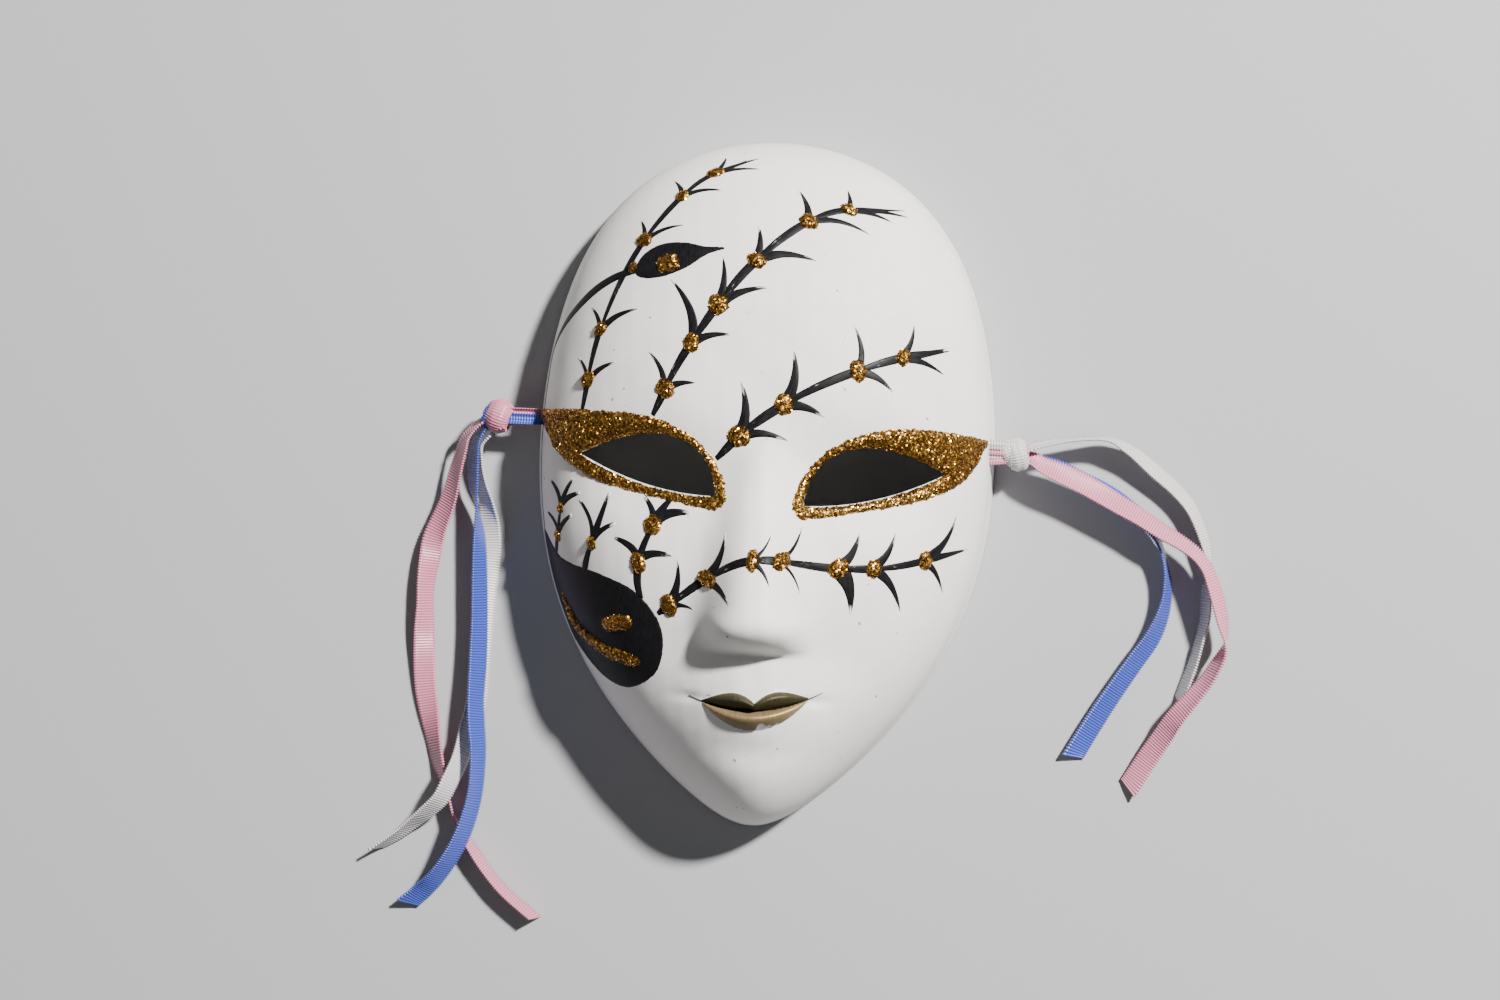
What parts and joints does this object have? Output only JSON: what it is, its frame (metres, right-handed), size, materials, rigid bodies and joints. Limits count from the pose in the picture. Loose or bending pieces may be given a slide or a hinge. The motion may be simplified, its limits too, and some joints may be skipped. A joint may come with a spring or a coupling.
{
  "type": "masquerade mask",
  "caption": "Full-face ceramic masquerade mask, egg-shaped shell with almond eye openings, closed nose and lips, gold glitter trim and three satin ribbons tied through each side wall.",
  "frame": {"origin": "middle of the shell's rim plane: the mask lies face up on its rim, which is at Z = 0", "axes": "+Z out of the face, +Y towards the forehead, +X towards the viewer's right"},
  "size_m": [0.1181, 0.1107, 0.0312],
  "materials": {
    "bisque": "matt unglazed white bisque",
    "black_paint": "hand-brushed black acrylic, satin",
    "gold_paint": "hand-brushed metallic gold-bronze paint",
    "gold_glitter": "gold flakes in clear glue",
    "pink_satin": "satin ribbon",
    "blue_satin": "satin ribbon",
    "white_satin": "satin ribbon"
  },
  "bodies": {
    "mask": {"mask_shell": "bisque", "left_eye_glitter": "gold_glitter", "right_eye_glitter": "gold_glitter", "outer_forehead_buds": "gold_glitter", "middle_forehead_buds": "gold_glitter", "brow_buds": "gold_glitter", "cheek_buds": "gold_glitter", "sprig_buds": "gold_glitter", "teardrop_oval_glitter": "gold_glitter", "teardrop_crescent_glitter": "gold_glitter", "leaf_oval_glitter": "gold_glitter"},
    "left_tie": {"left_inner_knot": "white_satin", "left_outer_knot": "pink_satin", "left_pink_neck": "pink_satin", "left_blue_neck": "blue_satin", "left_white_neck": "white_satin"},
    "left_tails": {"left_pink_ribbon": "pink_satin", "left_blue_ribbon": "blue_satin", "left_white_ribbon": "white_satin"},
    "right_tie": {"right_inner_knot": "white_satin", "right_outer_knot": "white_satin", "right_pink_neck": "pink_satin", "right_blue_neck": "blue_satin", "right_white_neck": "white_satin"},
    "right_tails": {"right_pink_ribbon": "pink_satin", "right_blue_ribbon": "blue_satin", "right_white_ribbon": "white_satin"}
  },
  "joints": [
    {"name": "left_tie_swivel", "type": "hinge", "parent": "mask", "child": "left_tie", "pos_m": [-0.0299, 0.0079, 0.0058], "axis": [0, 0, 1], "range_deg": [-8, 8]},
    {"name": "left_tails_swing", "type": "hinge", "parent": "left_tie", "child": "left_tails", "pos_m": [-0.0373, 0.0079, 0.0054], "axis": [0, 0, 1], "range_deg": [-80, 6]},
    {"name": "right_tie_swivel", "type": "hinge", "parent": "mask", "child": "right_tie", "pos_m": [0.0299, 0.0055, 0.0058], "axis": [0, 0, 1], "range_deg": [-8, 8]},
    {"name": "right_tails_swing", "type": "hinge", "parent": "right_tie", "child": "right_tails", "pos_m": [0.0346, 0.0055, 0.0054], "axis": [0, 0, 1], "range_deg": [-20, 55]}
  ]
}
